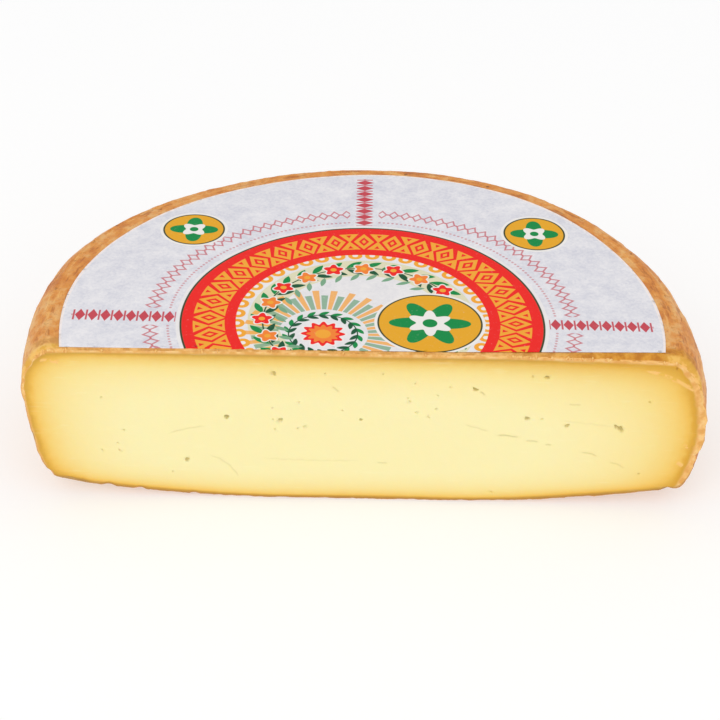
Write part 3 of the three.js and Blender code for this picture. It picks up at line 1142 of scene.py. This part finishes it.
def washed_rind():
    """Washed rind: orange-brown, with paler patches, creases along the rim and a few dark pits."""
    s = Shader("washed_rind")
    mm = s.millimetres()
    x, y, z = s.parts(mm)
    along = s.round_rim(x, y, z)
    cloud = s.noise(mm, 17.0, 3.0, 0.6)
    blotch = s.noise(mm, 4.6, 3.0, 0.6, 2.0)
    grain = s.noise(mm, 1.3, 2.0, 0.6, 4.0)
    streak = s.noise(s.scaled(along, (0.2, 1.0, 1.0)), 2.4, 3.0, 0.6, 6.0)
    pit = s.cells(mm, 7.0)
    tone = s.ramp(cloud * 0.35 + blotch * 0.35 + streak * 0.3, RIND_TONES)
    # The rind's side is a little paler all round; the extra paleness towards the left is painted
    # highlight
    side = z.step(77.0, 60.0)
    left = x.step(-60.0, -130.0)
    tone = s.mix(side * (left * 0.35 + 0.15), tone, PALE_SIDE_AND_HIGHLIGHT)
    bloom = (blotch * 0.5 + cloud * 0.5).step(0.50, 0.60) * (side * 0.35 + 0.3)
    tone = s.mix(bloom, tone, PALE_BLOOM)
    tone = s.mix(streak.step(0.56, 0.66) * 0.55, tone, PALE_STREAK)
    tone = s.mix(streak.step(0.43, 0.35) * 0.6, tone, DARK_STREAK)
    tone = s.mix(grain.step(0.45, 0.34) * 0.35, tone, DARK_GRAIN)
    tone = s.mix(pit.step(0.16, 0.07) * blotch.step(0.52, 0.46) * 0.8, tone, PIT_BROWN)
    strip = y.step(-14.0, -18.5) * z.step(70.0, 75.0)
    right = x.step(40.0, 110.0)
    bare = s.mix(right, s.ramp(blotch, STRIP_TONES), s.ramp(blotch, RIGHT_STRIP_TONES))
    tone = s.mix(strip * 0.9, tone, bare)
    corner = y.step(-20.0, -22.5) * abs(x).step(127.0, 133.0) * z.step(58.0, 65.0)
    golden = s.mix(blotch.step(0.44, 0.56), CORNER_GOLD, CORNER_PALE)
    tone = s.mix(corner * 0.85, tone, golden)
    lumps = s.noise(s.scaled(mm, (0.5, 1.0, 1.0)), 1.9, 2.0, 0.5, 8.0)
    lip = s.attribute("lip").step(0.35, 0.85) * lumps.step(0.42, 0.54)
    tone = s.mix(lip * 0.9, tone, RIND_LIP)
    bumps = grain * 0.35 + blotch * 0.7 + streak * 0.8 - pit.step(0.2, 0.06) * 0.8
    return s.finish({
        "Base Color": tone,
        "Roughness": grain * 0.25 + 0.42,
        "Normal": s.bump(bumps, 0.6, 0.8),
        "Subsurface Weight": 0.06,
        "Subsurface Radius": (0.6, 0.3, 0.12),
        "Subsurface Scale": 0.004,
        "Specular IOR Level": 0.3,
    })


PASTE_TONES = (
    (0.03, linear(248, 236, 178)),
    (0.08, linear(248, 233, 171)),
    (0.20, linear(247, 228, 159)),
    (0.35, linear(245, 222, 145)),
    (0.48, linear(244, 215, 131)),
    (0.60, linear(243, 209, 118)),
    (0.73, linear(241, 200, 100)),
    (0.82, linear(237, 190, 82)),
    (0.91, linear(225, 175, 62)),
    (1.00, linear(207, 157, 50)),
)
SECTION_TONES = (
    (0.38, linear(226, 166, 84)),
    (0.50, linear(236, 182, 104)),
    (0.62, linear(243, 198, 130)),
)
RIM_BROWN_AND_SHADE = linear(192, 150, 68)
RIM_GOLD_AND_SHADE = linear(214, 158, 42)
SEAM_GOLD = linear(222, 158, 26)
LOWER_EDGE_BROWN = linear(170, 122, 58)
HOLLOW_SHADE_OLIVE = linear(176, 164, 92)
SMEAR_SHEEN_CREAM = linear(255, 248, 208)
PASTE_LIP = linear(247, 196, 118)
RIPEST = 0.98
RIPENING = -1.6


def cut_paste():
    """Cut paste: cream in the middle, ripening to gold under a thin section of pale rind."""
    s = Shader("cut_paste")
    mm = s.millimetres()
    x, _y, _z = s.parts(mm)
    top, bottom, end = s.parts(s.attribute("depths", "Vector"))
    ragged = s.noise(mm, 3.4, 2.0, 0.5, 1.0)
    cloud = s.noise(mm, 15.0, 2.0, 0.5, 3.0)
    smear = s.noise(s.scaled(mm, (0.14, 1.0, 1.0)), 1.8, 2.0, 0.55, 5.0)
    fine = s.noise(mm, 0.8, 2.0, 0.5, 7.0)
    wander = (ragged - 0.5) * 1.5
    right, corner = x.step(-20.0, 20.0), x.step(40.0, 130.0)
    over = top + wander * 0.7 - 2.2
    inward = end + wander * 1.8 - 1.7 - right * 2.3
    young = 1.0
    from_top = (over, corner * 5.0 + 11.0)
    from_bottom = (bottom - 1.6, 6.5)
    from_end = (inward, right * 10.0 + 20.0)
    for depth, reach in (from_top, from_bottom, from_end):
        young = (1.0 - (depth.most(0.0) / reach * RIPENING).math("EXPONENT")) * young
    tone = s.ramp(RIPEST - young * RIPEST + (cloud - 0.5) * 0.03, PASTE_TONES)
    # A darker band just under the top edge: partly the paste's ripened colour by the rind, partly
    # painted shade; gold towards the right, weaker at the left
    rim = (over.most(0.0) / (corner * 5.0 + 3.4) * RIPENING).math("EXPONENT")
    rim = rim * (0.6 - x.step(-60.0, -120.0) * 0.3)
    tone = s.mix(rim, tone, s.mix(corner, RIM_BROWN_AND_SHADE, RIM_GOLD_AND_SHADE))
    section = s.ramp(ragged, SECTION_TONES)
    seam = (1.0 - abs(inward - 0.9) / 1.9).most(0.0) * right * 0.45
    tone = s.mix(seam, tone, SEAM_GOLD)
    tone = s.mix(over.least(inward).step(0.2, -1.4), tone, section)
    brown = (1.0 - abs(bottom - 0.8) / 1.7).most(0.0)
    tone = s.mix(brown * 0.85, tone, LOWER_EDGE_BROWN)
    # Painted shade in the eyes and cracks, darker olive where they are deeper
    tone = s.mix(s.attribute("hollow_shade") * 0.5, tone, HOLLOW_SHADE_OLIVE)
    # Painted sheen: the knife smears are lightened towards cream
    tone = s.mix(smear.step(0.58, 0.78) * 0.12, tone, SMEAR_SHEEN_CREAM)
    lip = s.attribute("lip").step(0.35, 0.85) * ragged.step(0.40, 0.50)
    tone = s.mix(lip * 0.8, tone, PASTE_LIP)
    return s.finish({
        "Base Color": tone,
        "Roughness": ragged * 0.2 + 0.40,
        "Normal": s.bump(fine * 0.3 + ragged * 0.7 + smear * 0.2, 0.18, 0.6),
        "Subsurface Weight": 0.25,
        "Subsurface Radius": (1.0, 0.7, 0.25),
        "Subsurface Scale": 0.004,
        "Specular IOR Level": 0.4,
    })


TORN_TONES = (
    (0.38, linear(226, 164, 84)),
    (0.52, linear(240, 186, 104)),
    (0.66, linear(246, 204, 130)),
)


def torn_rind():
    """The pale inside of the rind, which the small flakes show."""
    s = Shader("torn_rind")
    mottle = s.noise(s.millimetres(), 1.4, 2.0, 0.6)
    tone = s.ramp(mottle, TORN_TONES)
    return s.finish({"Base Color": tone, "Roughness": 0.55, "Specular IOR Level": 0.4})


RED = linear(240, 34, 28)
CRIMSON = linear(196, 20, 46)
GOLD = linear(244, 168, 52)
DEEP_GOLD = linear(232, 168, 36)
GREEN = linear(0, 138, 68)
DARK_GREEN = linear(16, 84, 52)
OLIVE = linear(60, 68, 38)
SAGE = linear(122, 168, 134)
PALE_SAGE = linear(222, 216, 168)
ORANGE = linear(244, 132, 50)
CREAM = linear(240, 236, 232)
PAPER_EDGE_HIGHLIGHT = linear(250, 238, 232)
WORN_PAPER = linear(240, 236, 238)
PAPER_TONES = (
    (0.38, linear(211, 211, 221)),
    (0.50, linear(225, 224, 230)),
    (0.62, linear(236, 234, 237)),
)
INK_EDGE = 0.14

RING_INNER = 55.3
RING_OUTER = 78.8
RING_MIDDLE = (RING_INNER + RING_OUTER) / 2
BORDER_COUNT = 32
BORDER_HALF = (4.7, 6.9)
ROUNDEL_RADIUS = 14.4
ROUNDELS = ((-79.5, 76.0), (79.5, 76.0))
BIG_ROUNDEL = (29.4, -1.0, 23.0)
ROW_FROM = 81.6
ROW_TO = 127.0
ROW_PITCH = 5.56
CHAIN_RADIUS = 92.5
CHAIN_COUNT = 104
BEAD_RADIUS = 84.8
BEAD_COUNT = 260
SUN = (-17.0, -11.0)
SUN_RAYS = 26
GARLAND_RADIUS = 43.6
# Leaves of the garland: how far out, turn in degrees, count, half length, half width, colour
GARLAND_LEAVES = (
    (3.0, 34, 34, 4.6, 1.6, GREEN),
    (-3.0, -34, 34, 4.4, 1.5, DARK_GREEN),
    (-7.6, 50, 30, 3.6, 1.2, SAGE),
)
BLOSSOM_COUNT = 10
SCALLOP_COUNT = 44


def length(u, v):
    return (u * u + v * v).math("SQRT")


def lozenge(u, v, half_u, half_v):
    return (abs(u) / half_u + abs(v) / half_v - 1.0) * (half_u * half_v / math.hypot(half_u, half_v))


def leaf(u, v, half_length, half_width):
    return abs(v) + u * u * (half_width / half_length**2) - half_width


def blossom(u, v, radius, petals, notch):
    turn = v.math("ARCTAN2", u) * petals
    return length(u, v) - (turn.math("COSINE") * notch + (1.0 - notch)) * radius


def turned(u, v, degrees):
    cos, sin = math.cos(math.radians(degrees)), math.sin(math.radians(degrees))
    return u * cos + v * sin, v * cos - u * sin


class Print(Shader):
    """The label's print: every shape is a distance in millimetres, below 0 inside it."""

    def __init__(self, name):
        super().__init__(name)
        self.mm = self.millimetres()
        self.x, self.y, _z = self.parts(self.mm)
        self.radius = length(self.x, self.y)
        self.angle = self.x.math("ARCTAN2", self.y)
        self.tone = CREAM

    def ink(self, distance, colour, strength=1.0):
        share = distance.step(INK_EDGE, -INK_EDGE)
        self.tone = self.mix(share * strength, self.tone, colour)

    def around(self, angle, radius, count, shift=0.0):
        """Distance along a circle from the nearest of count even places on it."""
        share = angle * (count / (2 * math.pi)) + shift
        return (share.math("FRACT") - 0.5) * (radius * (2 * math.pi / count))

    def border(self):
        """The red ring with its band of gold lozenges and double wedges."""
        self.ink(abs(self.radius - RING_OUTER - 1.6) - 0.9, CREAM, 0.7)
        self.ink(abs(self.radius - RING_OUTER - 0.4) - 0.5, OLIVE)
        self.ink(abs(self.radius - RING_MIDDLE) - (RING_OUTER - RING_INNER) / 2, RED)
        v = self.radius - RING_MIDDLE
        u = self.around(self.angle, self.radius, BORDER_COUNT, 0.5)
        half_u, half_v = BORDER_HALF
        self.ink(lozenge(u, v, half_u, half_v), GOLD)
        self.ink(lozenge(u, v, half_u * 0.52, half_v * 0.56), RED)
        self.ink(lozenge(u, v, half_u * 0.22, half_v * 0.26), GOLD)
        u = self.around(self.angle, self.radius, BORDER_COUNT)
        self.ink((abs(u) - abs(v) * 0.62 - 0.25).most(abs(v) - half_v), GOLD)
        self.ink((abs(u) - (abs(v) - 3.4) * 0.5).most(abs(v) - half_v + 1.0).most(3.6 - abs(v)), RED)

    def rows(self):
        """Three rows of crimson lozenges that run out from the ring."""
        for u, v in ((self.x, self.y), (self.y, self.x), (self.y, -self.x)):
            step = ((v - ROW_FROM) / ROW_PITCH).math("FRACT") - 0.5
            along = step * ROW_PITCH
            ends = abs(v - (ROW_FROM + ROW_TO) / 2) - (ROW_TO - ROW_FROM) / 2
            self.ink(lozenge(along, u, 2.3, 4.4).most(ends), CRIMSON, 0.92)
            bars = (abs(abs(step) - 0.5) * ROW_PITCH - 0.42).most(abs(u) - 3.8)
            self.ink(bars.most(ends), CRIMSON, 0.88)

    def chains(self):
        """A fine chain of lozenges and a line of beads, broken at the rows."""
        quarter = self.angle / (math.pi / 2)
        from_row = abs(quarter - quarter.math("ROUND")) * 90.0
        u = self.around(self.angle, self.radius, CHAIN_COUNT)
        v = self.radius - CHAIN_RADIUS
        gap = 4.2 - from_row
        self.ink((abs(lozenge(u, v, 2.1, 3.1)) - 0.42).most(gap), CRIMSON, 0.68)
        u = self.around(self.angle, self.radius, CHAIN_COUNT, 0.5)
        self.ink((length(u, v) - 0.6).most(gap), CRIMSON, 0.68)
        u = self.around(self.angle, self.radius, BEAD_COUNT)
        self.ink((length(u, self.radius - BEAD_RADIUS) - 0.62).most(gap), CRIMSON, 0.5)

    def roundel(self, x, y, radius, petals):
        """A gold disc with a green blossom in it."""
        u, v = self.x - x, self.y - y
        away = length(u, v)
        self.ink(away - radius - 1.3, CREAM)
        self.ink(away - radius, OLIVE)
        self.ink(away - radius + 0.8, DEEP_GOLD)
        self.ink(blossom(u, v, radius * 0.78, petals, 0.24), GREEN)
        side_u, side_v = turned(u, v, 180 / petals)
        self.ink(blossom(side_u, side_v, radius * 0.44, petals, 0.2), CREAM)
        self.ink(away - radius * 0.14, GREEN)

    def sun(self):
        """A sun with long and short rays inside a small wreath."""
        u, v = self.x - SUN[0], self.y - SUN[1]
        away, angle = length(u, v), u.math("ARCTAN2", v)
        rays = ((0.0, 35.0, GOLD, 0.045), (0.5, 31.0, SAGE, 0.05))
        for shift, reach, colour, width in rays:
            across = self.around(angle, away, SUN_RAYS, shift)
            self.ink((abs(across) - away * width).most(19.5 - away).most(away - reach), colour, 0.85)
        for out, turn, colour in ((16.2, 30, GREEN), (13.6, -30, DARK_GREEN)):
            side, up = turned(self.around(angle, away, 18, turn / 60), away - out, turn)
            self.ink(leaf(side, up, 2.9, 1.1), colour)
        self.ink(abs(away - 14.9) - 0.3, DARK_GREEN)
        self.ink(blossom(u, v, 10.6, 12, 0.1), CREAM)
        self.ink(blossom(u, v, 9.6, 12, 0.12), RED)
        self.ink(blossom(u, v, 7.2, 12, 0.12), ORANGE)
        self.ink(away - 3.4, GOLD)

    def garland(self):
        """Scallops under the ring, and a garland of leaves and blossoms."""
        u = self.around(self.angle, self.radius, SCALLOP_COUNT)
        scallop = length(u, self.radius - RING_INNER + 0.6)
        self.ink(scallop - 3.3, GOLD)
        self.ink(scallop - 1.3, CREAM)
        self.ink(abs(self.radius - GARLAND_RADIUS) - 0.35, DARK_GREEN)
        for out, turn, count, long, wide, colour in GARLAND_LEAVES:
            u = self.around(self.angle, self.radius, count)
            u, v = turned(u, self.radius - GARLAND_RADIUS - out, turn)
            self.ink(leaf(u, v, long, wide), colour)
        for shift, colour, out in ((0.0, RED, 0.4), (0.5, ORANGE, -0.6)):
            u = self.around(self.angle, self.radius, BLOSSOM_COUNT, shift)
            v = self.radius - GARLAND_RADIUS - out
            self.ink(blossom(u, v, 5.4, 5, 0.16), CREAM)
            self.ink(blossom(u, v, 4.6, 5, 0.18), colour)
            self.ink(length(u, v) - 1.4, GOLD)


def printed_paper():
    """Pale mottled paper with a generic print: a ring, a garland, roundels and rows of lozenges."""
    s = Print("printed_paper")
    fibre = s.noise(s.mm, 1.6, 4.0, 0.7)
    patch = s.noise(s.mm, 8.0, 3.0, 0.6, 2.0)
    s.tone = s.ramp(fibre * 0.5 + patch * 0.5, PAPER_TONES)
    s.rows()
    s.chains()
    for x, y in ROUNDELS:
        s.roundel(x, y, ROUNDEL_RADIUS, 4)
    s.ink(s.radius - RING_INNER, CREAM, 0.45)
    s.ink(abs(s.radius - GARLAND_RADIUS) - 6.6, PALE_SAGE, 0.75)
    s.sun()
    s.garland()
    s.roundel(*BIG_ROUNDEL, 6)
    s.border()
    # Painted highlight: a pale band round the paper's edge, where the cut edge catches the light
    edge = s.radius.step(LABEL_RADIUS - 1.9, LABEL_RADIUS - 1.1)
    s.tone = s.mix(edge * 0.8, s.tone, PAPER_EDGE_HIGHLIGHT)
    s.tone = s.mix(fibre.step(0.58, 0.74) * 0.16, s.tone, WORN_PAPER)
    return s.finish({
        "Base Color": s.tone,
        "Roughness": 0.68,
        "Normal": s.bump(fibre * 0.5 + patch * 0.7, 0.14, 0.6),
        "Specular IOR Level": 0.2,
    })


PAPER_RELIEF = {"Wave height": 0.3, "Crinkle height": 0.12, "Seed": 3.0}
FLAKE_SETTINGS = {"Spacing": 1.1 * MM, "Flake length": 1.2 * MM, "Seed": 11.0}
RIND_RELIEF = {
    "Lump height": 0.9,
    "Crease height": 1.0,
    "Pit depth": 0.6,
    "Lip height": 0.6,
    "Seed": 1.0,
}


def label_rim():
    """The label's outline: a ragged front edge where the knife went, and the rest of its disc."""
    height, size = FRONT_UNEVEN
    curve = spline(LABEL_FRONT, LABEL_CELL)
    front = [(x, y + height * roughness_at(x, 0.0, 0.0, size)) for x, y in curve]
    radius = LABEL_RADIUS - LABEL_TRIM
    rim = [place for place in front if math.hypot(*place) < radius - LABEL_TRIM]
    left, right = (math.sqrt(radius**2 - rim[i][1] ** 2) for i in (0, -1))
    rim = [(-left, rim[0][1]), *rim, (right, rim[-1][1])]
    start = math.atan2(rim[-1][1], rim[-1][0])
    end = math.atan2(rim[0][1], rim[0][0]) + 2 * math.pi
    count = round(radius * (end - start) / LABEL_CELL)
    wave, turns = DISC_WAVE
    height, pitch = DISC_UNEVEN
    for k in range(1, count):
        angle = start + (end - start) * k / count
        uneven = height * roughness_at(k * pitch, 0.0, 0.0, 1.0)
        reach = radius + wave * math.sin(turns * angle) + uneven
        rim.append((reach * math.cos(angle), reach * math.sin(angle)))
    return rim


def label_sheet(paper):
    """The label as a thin crinkled sheet just above the top."""
    rim = label_rim()
    polygon = np.array(rim)
    inner = np.array(hex_places(polygon.min(axis=0), polygon.max(axis=0), LABEL_CELL))
    inner = inner[inside(polygon, inner)]
    edge = tree_of(rim)
    places = [*rim, *(tuple(p) for p in inner if edge.find((*p, 0.0))[2] > LABEL_CELL / 2)]
    heights = [float(top_height(x, y)) - edge_sink(x, y) + LABEL_LIFT for x, y in places]
    verts = [AXIS + Vector((x, y, z)) * MM for (x, y), z in zip(places, heights)]
    mesh = bpy.data.meshes.new("paper_label")
    mesh.from_pydata(verts, [], triangles_in(places, len(rim)))
    mesh.shade_smooth()
    piece = add_object("paper_label", mesh)
    grow(piece, paper_crinkle(paper), PAPER_RELIEF)
    thick = piece.modifiers.new("thickness", "SOLIDIFY")
    thick.thickness = LABEL_THICKNESS * MM
    thick.offset = 1.0
    return settle(piece)


def torn_share(x, z):
    """How likely a flake is at a place on the outline of the cut."""
    more = FLAKES_MORE_AT_RIGHT * float(smooth(x, *FLAKES_TURN))
    top_edge = float(z > FLAKES_ABOVE) * (FLAKES_LEFT_SHARE + more)
    return max(top_edge, near_corner(x, z, *FLAKES_CORNER))


def flake_piece(rim, torn):
    mesh = bpy.data.meshes.new("torn_flakes")
    count = len(rim)
    edges = [(k, (k + 1) % count) for k in range(count)]
    mesh.from_pydata(rim * MM + np.array(AXIS), edges, [])
    layer = mesh.attributes.new("torn", "FLOAT", "POINT")
    layer.data.foreach_set("value", [torn_share(x, z) for x, _y, z in rim])
    piece = add_object("torn_flakes", mesh)
    grow(piece, torn_flakes(torn), FLAKE_SETTINGS)
    return settle(piece)


def place_camera():
    """The camera at the photograph's viewing angle."""
    focal = PX_PER_MM * CAMERA_DISTANCE
    cos, sin = math.cos(CAMERA_ROLL), math.sin(CAMERA_ROLL)
    right = Vector((1.0, 0.0, 0.0))
    up = Vector((0.0, math.sin(CAMERA_ELEVATION), math.cos(CAMERA_ELEVATION)))
    forward = Vector((0.0, math.cos(CAMERA_ELEVATION), -math.sin(CAMERA_ELEVATION)))
    across = LABEL_CENTRE_PX[0] - IMAGE_PX / 2
    above = IMAGE_PX / 2 - LABEL_CENTRE_PX[1]
    beside = (cos * across - sin * above) / focal
    over = (sin * across + cos * above) / focal
    label = AXIS + Vector((0.0, 0.0, WHEEL_HEIGHT * MM))
    offset = (right * beside + up * over + forward) * CAMERA_DISTANCE * MM
    camera = bpy.data.cameras.new("camera")
    camera.sensor_width = SENSOR
    camera.lens = SENSOR * focal / IMAGE_PX
    camera.clip_start = CLIP_START
    holder = add_object("camera", camera)
    turn = Matrix((right * cos + up * sin, up * cos - right * sin, -forward)).transposed()
    holder.matrix_world = Matrix.Translation(label - offset) @ turn.to_4x4()
    bpy.context.scene.camera = holder


FLOOR_REACH = 4.0
FLOOR_GLOW = 0.42
FLOOR_GREY = linear(202, 202, 202)
WHITE = linear(255, 255, 255)
SURROUND = 0.86
AIM = Vector((0.0, 0.0, 0.04))
# Lamps: name, place, width, power, colour
LAMPS = (
    ("key_light", (-0.7, -1.3, 1.3), 1.1, 4.9, (1.0, 0.99, 0.98)),
    ("fill_light", (0.9, -1.2, 0.9), 1.1, 1.6, (1.0, 1.0, 1.0)),
)


def soft_light(name, place, size, power, colour):
    lamp = bpy.data.lights.new(name, "AREA")
    lamp.shape = "DISK"
    lamp.size = size
    lamp.energy = power
    lamp.color = colour
    holder = add_object(name, lamp)
    holder.location = place
    holder.rotation_euler = (AIM - Vector(place)).to_track_quat("-Z", "Y").to_euler()


def studio():
    """A pale floor, a white surround and soft lamps."""
    mesh = bpy.data.meshes.new("floor")
    corners = [(x * FLOOR_REACH, y * FLOOR_REACH, 0.0) for x, y in ((-1, -1), (1, -1), (1, 1), (-1, 1))]
    mesh.from_pydata(corners, [], [(0, 1, 2, 3)])
    s = Shader("pale_floor")
    glow = {"Emission Color": WHITE, "Emission Strength": FLOOR_GLOW}
    mesh.materials.append(s.finish({"Base Color": FLOOR_GREY, "Roughness": 0.9, **glow}))
    add_object("floor", mesh)
    world = bpy.data.worlds.new("surround")
    world.use_nodes = True
    background = world.node_tree.nodes["Background"]
    background.inputs["Color"].default_value = WHITE
    background.inputs["Strength"].default_value = SURROUND
    bpy.context.scene.world = world
    for lamp in LAMPS:
        soft_light(*lamp)
    bpy.context.scene.view_settings.view_transform = "Standard"


wheel, cut_rim = cheese_mesh()
cheese = add_object("cheese_wheel", wheel)
grow(cheese, rind_relief(washed_rind(), cut_paste()), RIND_RELIEF)
settle(cheese)
flakes = flake_piece(cut_rim, torn_rind())
label = label_sheet(printed_paper())

for piece, node in ((cheese, "cheese"), (flakes, "cheese"), (label, "label")):
    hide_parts(node)
    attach(piece, "root")

place_camera()
studio()
